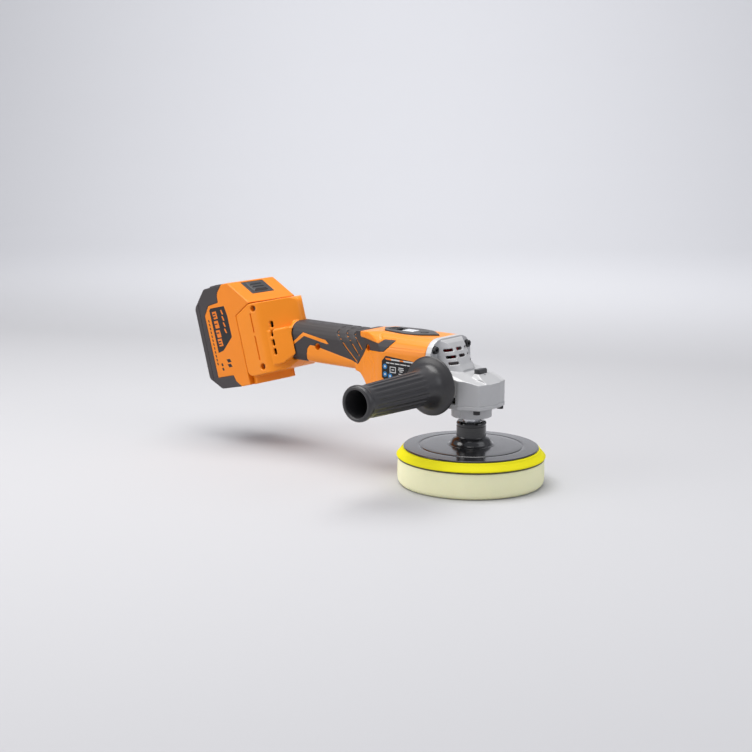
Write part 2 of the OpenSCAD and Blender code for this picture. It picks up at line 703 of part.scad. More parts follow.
// Spindle lock
module lock_button() {
  low = lock_floor + lock_stroke + 0.1;
  color([0.12, 0.12, 0.13]) difference() {
    intersection() {
      translate([lock_x, 0, 107]) cylinder(r = lock_cap_r, h = 20);
      across(8) polygon([[0, low], [13.5, low], [13.5, 116.6], [12, 117.7], [6, 117], [3.4, 114.8],
        [0, 112]]);
    }
    translate([lock_x, 0, low - 1]) cylinder(r = 4.8, h = lock_base - low + 1);
  }
}
module lock_pin() {
  color("silver") {
    translate([lock_x, 0, lock_tip]) cylinder(r = lock_r, h = lock_base - lock_tip);
  }
}
module lock_spring() {
  color("silver") tube_z_at(lock_x, 4.4, 3.4, lock_floor, lock_base - 0.02);
}
module tube_z_at(x, r1, r0, z0, z1) {
  translate([x, 0, 0]) tube_z(r1, r0, z0, z1);
}

// Control panel on top of the motor housing
slide_x = [-103, -92];
window_x = [-85, -71];
button_x = -60;
panel_top = 146.6;
module control_panel() {
  color([0.25, 0.25, 0.27]) difference() {
    union() {
      upright(141, panel_top) polygon(outline(panel_outline, 0.15));
      upright(139.4, 141.4) polygon(outline(panel_outline, 3.2));
    }
    box([slide_x[0] - 0.5, -5.6, panel_top - 1.5], [slide_x[1] + slide_stroke + 0.5, 5.6, 152]);
    box([slide_x[0] + 1.7, -3.3, 138], [slide_x[1] + slide_stroke - 1.7, 3.3, 152]);
    box([window_x[0], -6, panel_top - 0.8], [window_x[1], 6, 152]);
    box([window_x[0] + 2, -4, 138], [window_x[1] - 2, 4, 152]);
    translate([button_x, 0, 138]) cylinder(r = 4.3, h = 12);
  }
}
module display_window() {
  color("gainsboro")
    box([window_x[0] + 0.1, -5.9, panel_top - 0.8], [window_x[1] - 0.1, 5.9, panel_top + 0.1]);
}
module panel_board() {
  color("darkgreen") {
    box([-104, -9, 136.2], [-54, 9, 137.6]);
    box([-82, -4, 137.6], [-74, 4, 141.4]);
    box([-63, -3, 137.6], [-57, 3, 139.6]);
    box([-101, -4, 137.6], [-91, 4, 138.6]);
  }
}
module power_slide() {
  color([0.1, 0.1, 0.1]) {
    box([slide_x[0], -5.2, panel_top - 1.4], [slide_x[1], 5.2, panel_top + 0.4]);
    for (x = [slide_x[0] + 1.4:2.5:slide_x[0] + 9])
      box([x, -4.2, panel_top + 0.3], [x + 1, 4.2, panel_top + 1.1]);
    box([slide_x[0] + 3, -3, 138.9], [slide_x[1] - 3, 3, panel_top - 1.3]);
  }
}
module speed_button() {
  color([0.1, 0.1, 0.1]) {
    translate([button_x, 0, 140.4]) cylinder(r = 4, h = panel_top - 140);
  }
}

// Electrics in the grip and the foot
module motor_controller() {
  color([0.15, 0.3, 0.2]) {
    box([-190, -10, 106], [-142, 10, 108]);
    for (k = [0:3]) box([-186 + 11 * k, -7, 108], [-178 + 11 * k, 7, 115]);
  }
}
module terminal_block() {
  color([0.12, 0.12, 0.12]) leaning() {
    box([-239.8, -26.8, 172], [-233, 26.8, 204]);
    for (y = [-18, -6, 6, 18]) box([-233.2, y - 1.5, 180], [-228, y + 1.5, 196]);
  }
}
module battery_leads() {
  color("red") for (y = [-6, 6]) lead([[-266, y, 114], [-256, y, 115], [-246, y, 115], [-232, y, 114],
    [-216, y, 111.5], [-204, y, 109], [-196, y, 107.4], [-190.2, y, 107]], 1.6);
}
module motor_leads() {
  color("black") for (k = [0:2])
    lead([[-141, 3 * k, 107], [-137, 2 + 2.6 * k, 109], [-131, 6 + 2.6 * k, 113],
      [-126, 9 + 2.6 * k, 117], [-120, 10 + 2.6 * k, 120.5], [-112, 10 + 2.6 * k, 121.4],
      [-103.5, 10 + 2.6 * k, 121.6]], 1);
}
module rating_label() {
  color([0.08, 0.08, 0.1]) across(-body_half, -body_half - 0.35) polygon(outline(label_outline));
}

// Battery pack
module pack_form(d) {
  leaning() across(foot_half - d) polygon(outline(pack_side, d));
}
module pack_split(x0, x1, z0 = 120, z1 = 270) {
  leaning() box([x0, -50, z0], [x1, 50, z1]);
}
module latch_slope(d) {
  leaning() translate([-234, 0, 246.5]) rotate([0, 45, 0])
    box([-10.5 - d, -17.5 - d, -14], [10.5 + d, 17.5 + d, 8]);
}
module pack_base() {
  color([0.2, 0.2, 0.21]) difference() {
    intersection() {
      pack_form(0);
      pack_split(-294, -240);
      leaning() across(45) polygon(band_side);
    }
    pack_form(2.6);
  }
}
module pack_end_cap() {
  color([0.2, 0.2, 0.21]) intersection() {
    pack_form(0);
    pack_split(-301, -294.02);
  }
}
module pack_top() {
  color("darkorange") difference() {
    intersection() {
      pack_form(0);
      pack_split(-294, -200);
    }
    leaning() across(45) polygon(band_side);
    intersection() {
      pack_form(2.6);
      pack_split(-300, -243);
    }
    leaning() box([-243.5, -24, 176], [-239, 24, 200]);
    latch_slope(0.3);
  }
}
module cells() {
  color("steelblue") leaning() for (row = [0:4], col = [0:1])
    rod_y(-283.6 + 19 * col, 162 + 18.6 * row, 9, -32.5, 32.5);
}
module cell_holder() {
  color([0.15, 0.15, 0.16]) leaning() for (y = [-33.8, 32.6]) difference() {
    box([-293, y, 156], [-255.2, y + 1.2, 236]);
    for (row = [0:4], col = [0:1]) rod_y(-283.6 + 19 * col, 162 + 18.6 * row, 4, y - 1, y + 3);
  }
}
module pack_board() {
  color("darkgreen") leaning() box([-251, -22, 160], [-249.4, 22, 225]);
}
module pack_contacts() {
  color("goldenrod") leaning() for (y = [-18, -6, 6, 18])
    box([-249.2, y - 0.6, 180], [-243.8, y + 0.6, 196]);
}
module pack_bumper() {
  color([0.15, 0.15, 0.15]) leaning() box([-292, -16, 256.05], [-280, 16, 259]);
}
module latch_button() {
  color([0.15, 0.15, 0.15]) leaning() translate([-234, 0, 246.5]) rotate([0, 45, 0]) {
    box([-10.3, -17.3, -3], [10.3, 17.3, 0.2]);
    box([-8.6, -11, 0.1], [6.6, 11, 0.9]);
    for (k = [0:2]) box([-6.4 + 4.6 * k, -9, 0.8], [-4 + 4.6 * k, 9, 1.7]);
  }
}
module latch_spring() {
  color("silver") leaning() translate([-234, 0, 246.5]) rotate([0, 45, 0]) tube_z(4, 3, -13.9, -3.1);
}

housing_right();
housing_left();
grip_skin_right();
grip_skin_left();
housing_screws();
gear_case();
gear_case_screws();
air_baffle();
bearing_flange();
flange_screws();
spindle_bearing();
needle_bush();
spindle_seal();
side_handle();
handle_stud();
stator_core();
stator_coils();
sensor_board();
rotor_bearings();
control_panel();
display_window();
panel_board();
motor_controller();
terminal_block();
battery_leads();
motor_leads();
rating_label();
lock_spring();
spindle();
ring_gear();
gear_key();
spindle_race();
spindle_clip();
backing_plate();
hub_insert();
plate_cushion();
hook_disc();
pad_loop();
foam_pad();
rotor_shaft();
rotor_core();
rotor_magnets();
cooling_fan();
pinion();
rotor_races();
lock_button();
lock_pin();
power_slide();
speed_button();
pack_base();
pack_top();
pack_end_cap();
cells();
cell_holder();
pack_board();
pack_contacts();
pack_bumper();
latch_button();
latch_spring();
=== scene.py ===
import json
import math

import bpy
import numpy as np
from mathutils import Matrix, Vector


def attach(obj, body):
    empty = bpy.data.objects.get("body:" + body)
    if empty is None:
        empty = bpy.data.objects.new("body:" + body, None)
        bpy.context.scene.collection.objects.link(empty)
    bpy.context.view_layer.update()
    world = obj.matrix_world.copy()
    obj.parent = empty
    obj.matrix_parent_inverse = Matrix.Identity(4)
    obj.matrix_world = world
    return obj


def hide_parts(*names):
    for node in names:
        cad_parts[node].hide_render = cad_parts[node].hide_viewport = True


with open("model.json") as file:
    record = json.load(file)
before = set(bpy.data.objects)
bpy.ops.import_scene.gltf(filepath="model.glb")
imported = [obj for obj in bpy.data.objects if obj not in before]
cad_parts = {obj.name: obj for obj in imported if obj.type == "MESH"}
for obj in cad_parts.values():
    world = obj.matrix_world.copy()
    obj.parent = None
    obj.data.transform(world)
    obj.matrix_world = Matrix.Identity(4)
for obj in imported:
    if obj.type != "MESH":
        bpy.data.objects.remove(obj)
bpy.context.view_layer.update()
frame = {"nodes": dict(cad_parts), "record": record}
mm = 0.001
lean = math.radians(16)  # the battery foot and the pack lean back by this much
print("frame loaded:", len(frame["nodes"]), "nodes")


def meshObject(name, verts, faces, smooth=40):
    mesh = bpy.data.meshes.new(name)
    mesh.from_pydata(np.asarray(verts, float).tolist(), [], faces)
    piece = bpy.data.objects.new(name, mesh)
    bpy.context.scene.collection.objects.link(piece)
    shade(piece, smooth)
    return piece


def shade(piece, angle=40):
    # smooth everywhere except over edges that turn by more than the angle
    mesh = piece.data
    mesh.shade_smooth()
    if angle < 180:
        mesh.set_sharp_from_angle(angle=math.radians(angle))


def gridFaces(rows, cols, closed):
    # quads between neighbouring rows and columns, wrapping round the columns when closed
    span = cols if closed else cols - 1
    i, j = np.meshgrid(np.arange(rows - 1), np.arange(span), indexing="ij")
    k = (j + 1) % cols
    quads = np.stack([i * cols + j, i * cols + k, (i + 1) * cols + k, (i + 1) * cols + j], -1)
    return quads.reshape(-1, 4).tolist()


def closedGrid(name, points, smooth=40):
    # rings of points (rows, around, xyz) joined into a tube whose two ends are closed with flat caps
    rows, cols = points.shape[:2]
    faces = gridFaces(rows, cols, True)
    faces.append(list(range(cols))[::-1])
    faces.append([(rows - 1) * cols + j for j in range(cols)])
    piece = meshObject(name, points.reshape(-1, 3), faces, smooth)
    outward(piece)
    return piece


def outward(piece):
    # turns a closed mesh the right way round if its signed volume is negative
    mesh = piece.data
    mesh.calc_loop_triangles()
    co = np.empty(len(mesh.vertices) * 3)
    mesh.vertices.foreach_get("co", co)
    tri = np.empty(len(mesh.loop_triangles) * 3, np.int32)
    mesh.loop_triangles.foreach_get("vertices", tri)
    a, b, c = co.reshape(-1, 3)[tri.reshape(-1, 3)].transpose(1, 0, 2)
    if np.einsum("ij,ij->", a, np.cross(b, c)) < 0:
        mesh.flip_normals()


def prism(name, outline, axis, low, high, leaning=False):
    # an outline in millimetres pushed along Y (axis y: x, z points), Z (axis z: x, y) or X (axis x: y, z)
    flat = np.asarray(outline, float)
    n = len(flat)
    ends = []
    for level in (low, high):
        fill = np.full(n, float(level))
        first, second = flat[:, 0], flat[:, 1]
        cols = {"y": (first, fill, second), "z": (first, second, fill), "x": (fill, first, second)}
        ends.append(np.stack(cols[axis], -1))
    verts = np.concatenate(ends) * mm
    if leaning:
        verts = leaned(verts)
    faces = [list(range(n))[::-1], list(range(n, 2 * n))]
    faces += [[i, (i + 1) % n, n + (i + 1) % n, n + i] for i in range(n)]
    piece = meshObject(name, verts, faces)
    outward(piece)
    return piece


def leaned(points):
    # from the leaning foot's own x and z to the frame's: a turn about Y through the origin
    p = np.asarray(points, float)
    c, s = math.cos(lean), math.sin(lean)
    return np.stack([p[..., 0] * c - p[..., 2] * s, p[..., 1], p[..., 0] * s + p[..., 2] * c], -1)


def revolve(name, profile, centre=(0, 0, 0), axis="z", turns=128, smooth=35, shape=None):
    # a profile of [radius, height] points in millimetres carried round an axis; shape may change the rings
    prof = np.asarray(profile, float)
    phi = np.linspace(0, 2 * np.pi, turns, endpoint=False)
    r = np.maximum(prof[:, 0], 1e-4)[:, None]
    h = np.repeat(prof[:, 1][:, None], turns, 1)
    r = np.repeat(r, turns, 1)
    if shape is not None:
        r, h = shape(r, h, phi[None, :])
    a, b = r * np.cos(phi), r * np.sin(phi)
    pts = {"z": (a, b, h), "y": (a, h, b), "x": (h, a, b)}[axis]
    points = (np.stack(pts, -1) + np.array(centre)) * mm
    return closedGrid(name, points, smooth)


def settle(piece):
    # applies the piece's modifiers, so that only the finished mesh is left
    graph = bpy.context.evaluated_depsgraph_get()
    done = bpy.data.meshes.new_from_object(piece.evaluated_get(graph))
    old = piece.data
    piece.modifiers.clear()
    piece.data = done
    bpy.data.meshes.remove(old)
    return piece


def cut(piece, tools, how="DIFFERENCE"):
    # adds, removes or keeps the shared part of each tool in turn; the tools are used up
    for tool in tools if isinstance(tools, list) else [tools]:
        mod = piece.modifiers.new("cut", "BOOLEAN")
        mod.operation = how
        mod.object = tool
        mod.solver = "MANIFOLD"
        settle(piece)
        bpy.data.objects.remove(tool)
    return piece


def twin(piece, name):
    # a second object with its own copy of the mesh
    copy = bpy.data.objects.new(name, piece.data.copy())
    bpy.context.scene.collection.objects.link(copy)
    return copy


def cadCopy(node, name):
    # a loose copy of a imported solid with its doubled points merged
    source = frame["nodes"][node]
    copy = bpy.data.objects.new(name, source.data.copy())
    bpy.context.scene.collection.objects.link(copy)
    copy.data.materials.clear()
    mod = copy.modifiers.new("merge", "WELD")
    mod.merge_threshold = 1e-6
    return settle(copy)


def soften(piece, voxel, passes, keep=1.0, smooth=180):
    # a fine remesh whose points are then averaged, so that every edge gets a cast or moulded radius
    mod = piece.modifiers.new("remesh", "REMESH")
    mod.mode = "VOXEL"
    mod.voxel_size = voxel * mm
    mod.use_smooth_shade = True
    relax = piece.modifiers.new("relax", "SMOOTH")
    relax.factor = 0.5
    relax.iterations = passes
    if keep < 1:
        fewer = piece.modifiers.new("thin", "DECIMATE")
        fewer.ratio = keep
    settle(piece)
    shade(piece, smooth)
    return piece


def finished(piece, body, slot, material, *nodes):
    # one material, the body the piece rides on, its material slot (not used) and the solids it stands for
    piece.data.materials.clear()
    piece.data.materials.append(material)
    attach(piece, body)
    if nodes:
        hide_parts(*nodes)
    return piece


def nodeGroup(name, inputs, outputs):
    # an empty shader group with its sockets, and its two end nodes
    tree = bpy.data.node_groups.new(name, "ShaderNodeTree")
    for label, kind, value in inputs:
        socket = tree.interface.new_socket(label, in_out="INPUT", socket_type=kind)
        if value is not None:
            socket.default_value = value
    for label, kind in outputs:
        tree.interface.new_socket(label, in_out="OUTPUT", socket_type=kind)
    return tree, tree.nodes.new("NodeGroupInput"), tree.nodes.new("NodeGroupOutput")


def link(tree, a, b):
    tree.links.new(a, b)


def maths(tree, how, a, b=None):
    # one arithmetic node; each term is a number or another node's output
    node = tree.nodes.new("ShaderNodeMath")
    node.operation = how
    for k, v in enumerate((a, b)):
        if v is None:
            continue
        if isinstance(v, (int, float)):
            node.inputs[k].default_value = v
        else:
            link(tree, v, node.inputs[k])
    return node.outputs[0]


def blendColour(tree, fac, a, b):
    # colour a where the mask is 0 and colour b where it is 1
    node = tree.nodes.new("ShaderNodeMix")
    node.data_type = "RGBA"
    link(tree, fac, node.inputs["Factor"])
    for k, v in ((6, a), (7, b)):
        if isinstance(v, tuple):
            node.inputs[k].default_value = (*v[:3], 1)
        else:
            link(tree, v, node.inputs[k])
    return node.outputs[2]


def grainGroup():
    # fine grain on broad, soft patches: colour drifts, roughness drifts and a height for the bump
    tree, given, out = nodeGroup(
        "mouldedGrain",
        [("Vector", "NodeSocketVector", None), ("Colour", "NodeSocketColor", (0.5, 0.5, 0.5, 1)),
         ("Patch Size", "NodeSocketFloat", 30.0), ("Grain Size", "NodeSocketFloat", 900.0),
         ("Drift", "NodeSocketFloat", 0.08), ("Roughness", "NodeSocketFloat", 0.4),
         ("Rough Drift", "NodeSocketFloat", 0.1)],
        [("Colour", "NodeSocketColor"), ("Roughness", "NodeSocketFloat"), ("Height", "NodeSocketFloat")])
    patch = tree.nodes.new("ShaderNodeTexNoise")
    patch.inputs["Detail"].default_value = 4
    fine = tree.nodes.new("ShaderNodeTexNoise")
    fine.inputs["Detail"].default_value = 2
    for node, size in ((patch, "Patch Size"), (fine, "Grain Size")):
        link(tree, given.outputs["Vector"], node.inputs["Vector"])
        link(tree, given.outputs[size], node.inputs["Scale"])
    centred = maths(tree, "SUBTRACT", patch.outputs["Fac"], 0.5)
    both = maths(tree, "ADD", centred,
                 maths(tree, "MULTIPLY", maths(tree, "SUBTRACT", fine.outputs["Fac"], 0.5), 0.5))
    bright = maths(tree, "ADD", maths(tree, "MULTIPLY", both, given.outputs["Drift"]), 1.0)
    tint = tree.nodes.new("ShaderNodeVectorMath")
    tint.operation = "SCALE"
    link(tree, given.outputs["Colour"], tint.inputs[0])
    link(tree, bright, tint.inputs["Scale"])
    link(tree, tint.outputs[0], out.inputs["Colour"])
    rough = maths(tree, "ADD", given.outputs["Roughness"],
                  maths(tree, "MULTIPLY", both, given.outputs["Rough Drift"]))
    link(tree, rough, out.inputs["Roughness"])
    link(tree, fine.outputs["Fac"], out.inputs["Height"])
    return tree


grain = grainGroup()


def surface(name, colour, rough=0.4, metal=0.0, patch=30.0, fine=900.0, drift=0.08, roughDrift=0.15,
            bump=0.15, depth=0.05, coat=0.0, sheen=0.0, specular=0.5, subsurface=0.0):
    # one finished material: the grain group feeds colour, roughness and a bump depth millimetres deep
    mat = bpy.data.materials.new(name)
    mat.use_nodes = True
    tree = mat.node_tree
    shader = tree.nodes["Principled BSDF"]
    where = tree.nodes.new("ShaderNodeTexCoord").outputs["Object"]
    group = tree.nodes.new("ShaderNodeGroup")
    group.node_tree = grain
    link(tree, where, group.inputs["Vector"])
    group.inputs["Colour"].default_value = (*colour, 1)
    for label, v in (("Patch Size", patch), ("Grain Size", fine), ("Drift", drift),
                     ("Roughness", rough), ("Rough Drift", roughDrift)):
        group.inputs[label].default_value = v
    link(tree, group.outputs["Colour"], shader.inputs["Base Color"])
    link(tree, group.outputs["Roughness"], shader.inputs["Roughness"])
    bumpNode = tree.nodes.new("ShaderNodeBump")
    bumpNode.inputs["Strength"].default_value = bump
    bumpNode.inputs["Distance"].default_value = depth * mm
    link(tree, group.outputs["Height"], bumpNode.inputs["Height"])
    link(tree, bumpNode.outputs["Normal"], shader.inputs["Normal"])
    shader.inputs["Metallic"].default_value = metal
    shader.inputs["Coat Weight"].default_value = coat
    shader.inputs["Coat Roughness"].default_value = 0.12
    shader.inputs["Sheen Weight"].default_value = sheen
    shader.inputs["Specular IOR Level"].default_value = specular
    if subsurface:
        shader.inputs["Subsurface Weight"].default_value = subsurface
        shader.inputs["Subsurface Radius"].default_value = (0.004, 0.003, 0.0015)
    return mat


markSockets = {"box": ("Centre U", "Centre V", "Half U", "Half V", "Slant"),
               "disc": ("Centre U", "Centre V", "Radius")}


def markGroup():
    # 1 inside a slanted box of the side view, 0 outside: it compares the distances from its centre
    tree, given, out = nodeGroup(
        "boxMark", [(label, "NodeSocketFloat", 0.0) for label in ("U", "V", *markSockets["box"])],
        [("Mask", "NodeSocketFloat")])
    g = given.outputs
    dv = maths(tree, "SUBTRACT", g["V"], g["Centre V"])
    du = maths(tree, "SUBTRACT",
               maths(tree, "ADD", g["U"], maths(tree, "MULTIPLY", dv, g["Slant"])), g["Centre U"])
    inU = maths(tree, "LESS_THAN", maths(tree, "ABSOLUTE", du), g["Half U"])
    inV = maths(tree, "LESS_THAN", maths(tree, "ABSOLUTE", dv), g["Half V"])
    link(tree, maths(tree, "MULTIPLY", inU, inV), out.inputs["Mask"])
    return tree


def discGroup():
    # 1 inside a circle of the side view and 0 outside
    tree, given, out = nodeGroup(
        "discMark", [(label, "NodeSocketFloat", 0.0) for label in ("U", "V", *markSockets["disc"])],
        [("Mask", "NodeSocketFloat")])
    g = given.outputs
    du = maths(tree, "SUBTRACT", g["U"], g["Centre U"])
    dv = maths(tree, "SUBTRACT", g["V"], g["Centre V"])
    square = maths(tree, "ADD", maths(tree, "MULTIPLY", du, du), maths(tree, "MULTIPLY", dv, dv))
    link(tree, maths(tree, "LESS_THAN", maths(tree, "SQRT", square), g["Radius"]), out.inputs["Mask"])
    return tree


boxMark, discMark = markGroup(), discGroup()


def printed(mat, marks, tilt=0.0):
    # lays plain marks over a material's colour: each is a colour and a box, a disc or a convex outline
    tree = mat.node_tree
    shader = tree.nodes["Principled BSDF"]
    where = tree.nodes.new("ShaderNodeTexCoord").outputs["Object"]
    sides = []
    for axis in ((math.cos(tilt), 0, math.sin(tilt)), (-math.sin(tilt), 0, math.cos(tilt))):
        dot = tree.nodes.new("ShaderNodeVectorMath")
        dot.operation = "DOT_PRODUCT"
        link(tree, where, dot.inputs[0])
        dot.inputs[1].default_value = [a / mm for a in axis]
        sides.append(dot.outputs["Value"])
    colour = shader.inputs["Base Color"].links[0].from_socket
    for tint, kind, *values in marks:
        if kind == "outline":
            mask = None
            pts = np.array(values[0], float)
            middle = pts.mean(0)
            for a, b in zip(pts, np.roll(pts, -1, 0)):
                n = np.array([b[1] - a[1], a[0] - b[0]]) / np.linalg.norm(b - a)
                n = n if (middle - a) @ n > 0 else -n
                height = maths(tree, "ADD", maths(tree, "MULTIPLY", sides[0], float(n[0])),
                               maths(tree, "MULTIPLY", sides[1], float(n[1])))
                edge = maths(tree, "GREATER_THAN", height, float(a @ n))
                mask = edge if mask is None else maths(tree, "MULTIPLY", mask, edge)
        else:
            group = tree.nodes.new("ShaderNodeGroup")
            group.node_tree = boxMark if kind == "box" else discMark
            link(tree, sides[0], group.inputs["U"])
            link(tree, sides[1], group.inputs["V"])
            for label, v in zip(markSockets[kind], values):
                group.inputs[label].default_value = v
            mask = group.outputs["Mask"]
        colour = blendColour(tree, mask, colour, tint)
    link(tree, colour, shader.inputs["Base Color"])


inks = {"film": (0.012, 0.012, 0.014), "pale": (0.62, 0.62, 0.62), "orange": (0.80, 0.20, 0.01),
    "blue": (0.02, 0.17, 0.40)}
# every material: its name, colour and roughness, then how the grain drifts, bumps and shines
finishes = {
    "orange": surface("orangeShell", (0.86, 0.255, 0.008), 0.34, fine=1400, drift=0.08, bump=0.25,
        depth=0.03, specular=0.42),
    "overmould": surface("gripRubber", (0.031, 0.026, 0.027), 0.5, fine=1800, drift=0.2, bump=0.5,
        depth=0.05),
    "case_alloy": surface("castAlloy", (0.52, 0.52, 0.525), 0.47, metal=0.3, patch=60, fine=1500,
        drift=0.12, bump=0.45, depth=0.06),
    "handle_black": surface("handleNylon", (0.034, 0.033, 0.035), 0.33, fine=1600, drift=0.2, bump=0.4,
        depth=0.05),
    "plate_black": surface("plateGloss", (0.012, 0.012, 0.013), 0.22, fine=500, drift=0.2, roughDrift=0.1,
        bump=0.05, depth=0.02, coat=0.5),
    "cushion_yellow": surface("cushionFoam", (0.77, 0.70, 0.0), 0.7, fine=1500, drift=0.1, bump=0.5,
        depth=0.12, specular=0.3),
    "foam_cream": surface("padFoam", (0.93, 0.91, 0.60), 0.95, fine=1100, drift=0.10, bump=0.8, depth=0.3,
        specular=0.15, subsurface=0.15),
    "hook_dark": surface("hookPile", (0.045, 0.04, 0.02), 0.9, fine=2500, drift=0.5, bump=0.9, depth=0.3,
        sheen=0.3),
    "loop_dark": surface("loopPile", (0.16, 0.15, 0.07), 0.95, fine=2500, drift=0.5, bump=0.9, depth=0.3,
        sheen=0.3),
    "pack_grey": surface("packShell", (0.042, 0.035, 0.037), 0.42, fine=1800, drift=0.15, bump=0.5,
        depth=0.05),
    "panel_grey": surface("panelShell", (0.036, 0.033, 0.034), 0.4, fine=1600, drift=0.15, bump=0.3,
        depth=0.04),
    "switch_black": surface("switchShell", (0.03, 0.03, 0.032), 0.45, fine=1600, bump=0.3, depth=0.03),
    "button_black": surface("buttonShell", (0.04, 0.04, 0.043), 0.4, fine=1600, bump=0.3, depth=0.03),
    "label_film": surface("labelFilm", (0.008, 0.008, 0.009), 0.42, fine=600, bump=0.05, depth=0.02,
        specular=0.3),
    "window_clear": surface("windowLens", (0.72, 0.73, 0.75), 0.12, fine=400, bump=0.02, depth=0.02,
        coat=0.6),
    "steel": surface("turnedSteel", (0.62, 0.63, 0.65), 0.28, metal=1.0, patch=80, fine=2500, drift=0.1,
        bump=0.3, depth=0.02),
    "black_screw": surface("blackOxide", (0.02, 0.02, 0.022), 0.35, metal=0.3, fine=1500, bump=0.3,
        depth=0.02),
    "zinc_screw": surface("zincPlate", (0.20, 0.17, 0.15), 0.5, metal=0.6, fine=1500, bump=0.3, depth=0.02),
    "bearing_steel": surface("bearingSteel", (0.7, 0.71, 0.73), 0.15, metal=1.0, fine=800, bump=0.05,
        depth=0.01),
    "gear_steel": surface("gearSteel", (0.35, 0.34, 0.33), 0.35, metal=1.0, fine=1200, bump=0.3,
        depth=0.03),
    "bronze": surface("bushBronze", (0.55, 0.36, 0.14), 0.35, metal=1.0, fine=1500, bump=0.3, depth=0.02),
    "laminations": surface("laminations", (0.28, 0.29, 0.31), 0.4, metal=0.9, fine=2600, bump=0.5,
        depth=0.05),
    "copper": surface("enamelCopper", (0.62, 0.25, 0.09), 0.3, metal=0.9, fine=1800, drift=0.3, bump=0.6,
        depth=0.1),
    "magnet": surface("nickelMagnet", (0.3, 0.3, 0.32), 0.3, metal=0.9, fine=900, bump=0.1, depth=0.02),
    "contact_metal": surface("contactPlate", (0.75, 0.55, 0.22), 0.28, metal=1.0, fine=900, bump=0.1,
        depth=0.02),
    "board_green": surface("boardMask", (0.01, 0.12, 0.05), 0.3, fine=700, drift=0.3, bump=0.2, depth=0.03),
    "baffle_red": surface("baffleRed", (0.55, 0.0, 0.02), 0.45, fine=1400, bump=0.3, depth=0.03),
    "seal_rubber": surface("sealRubber", (0.02, 0.02, 0.02), 0.6, fine=1400, bump=0.3, depth=0.03),
    "lead_red": surface("leadRed", (0.5, 0.01, 0.01), 0.45, fine=1400, bump=0.2, depth=0.02),
    "lead_black": surface("leadBlack", (0.02, 0.02, 0.02), 0.45, fine=1400, bump=0.2, depth=0.02),
    "fan_black": surface("fanNylon", (0.04, 0.04, 0.04), 0.45, fine=1400, bump=0.3, depth=0.03),
    "cell_wrap": surface("cellWrap", (0.04, 0.16, 0.42), 0.3, fine=700, drift=0.15, bump=0.1, depth=0.02),
    "holder_black": surface("holderBlack", (0.03, 0.03, 0.033), 0.5, fine=1400, bump=0.3, depth=0.03),
}
finishes["pack_orange"] = surface("packOrange", (0.84, 0.235, 0.006), 0.36, fine=1400, drift=0.08, bump=0.3,
    depth=0.03, specular=0.42)

# marks on the rating label, as [x, z, half width, half height, slant]: bars, a frame and discs, no words
labelBars = [("pale", -65, 121.0, 17, 0.7, 0), ("orange", -80, 121.2, 3.4, 0.9, 0.6),
    ("orange", -63, 121.0, 2.4, 0.7, 0.6)]
labelBars += [("pale", x, 117.3, w, 0.5, 0)
              for x, w in ((-80.5, 2.2), (-75, 2.4), (-68.5, 3), (-60.5, 4), (-54, 1.6))]
labelDiscs = ((-84.2, 113.2), (-84.0, 105.3), (-77.4, 104.0))
labelFrame = [("pale", -74.0, 110.8, 3.9, 3.1, 0), ("film", -74.0, 110.8, 3.1, 2.3, 0),
    ("pale", -74.0, 110.8, 1.6, 0.5, 0)]
labelFrame += [("pale", -63.5, z, w, 0.45, 0)
               for z, w in ((113.6, 3.2), (111.8, 3.6), (110.0, 2.0), (107.4, 3.0))]
labelMarks = [(inks[ink], "box", *place) for ink, *place in labelBars]
labelMarks += [(inks[ink], "disc", x, z, r)
               for ink, r in (("blue", 2.7), ("pale", 1.1)) for x, z in labelDiscs]
labelMarks += [(inks[ink], "box", *place) for ink, *place in labelFrame]
printed(finishes["label_film"], labelMarks)

# marks on the battery's side, in the leaning x and z: a dark panel, then rows of bars
packPanel = [[-278.6, 231.5], [-276.5, 233.5], [-255, 232.6], [-252.8, 222], [-252.5, 197.5], [-269.5, 185],
    [-277.8, 183.6]]
packRows = [
    ("orange", -271.6, (225.0, 214.6, 204.2, 194.4), 3.1, 4.2, 0.1),
    ("film", -272.4, (226.4, 223.4, 215.2, 205.2, 195.6, 192.6), 2.0, 0.7, 0.1),
    ("orange", -260.2, (226.5, 219.6, 212.6, 205.6), 1.0, 2.6, 0.3),
    ("film", -282.6, np.arange(172.0, 222.0, 4.4), 0.8, 1.5, 0.2),
    ("film", -264.6, (167.4, 172.8), 2.6, 1.9, 0.5),
    ("film", -276.0, (165.0, 170.0), 1.3, 1.6, 0.2),
]
packMarks = [(inks["film"], "outline", packPanel)]
packMarks += [(inks[ink], "box", x, z, *rest) for ink, x, heights, *rest in packRows for z in heights]
printed(finishes["pack_orange"], packMarks, lean)

finishes["lock_steel"] = finishes["steel"]
slots = {s["node"]: s["material_slot"] for s in frame["record"]["subparts"]}
for nodeName, nodeObject in frame["nodes"].items():
    nodeObject.data.materials.clear()
    nodeObject.data.materials.append(finishes[slots[nodeName]])
print("materials made:", len(finishes))

# polishing sponge, in millimetres
pad = {"radius": 74.0, "height": 26.3, "edge": 5.0, "swell": 0.35}


def padShape(r, h, phi):
    # a slow wave round the rim, and a rim that bulges a little at half height
    wave = 0.18 * np.sin(3 * phi + 0.6) + 0.12 * np.sin(7 * phi + 2.0)
    bulge = pad["swell"] * np.sin(np.clip(h / pad["height"], 0, 1) * np.pi)
    rim = np.clip((r - 55) / 15, 0, 1)
    return r + rim * (bulge + wave - 0.35), h


def arcPoints(cx, cy, r, a0, a1, n):
    a = np.radians(np.linspace(a0, a1, n))
    return np.stack([cx + r * np.cos(a), cy + r * np.sin(a)], -1)


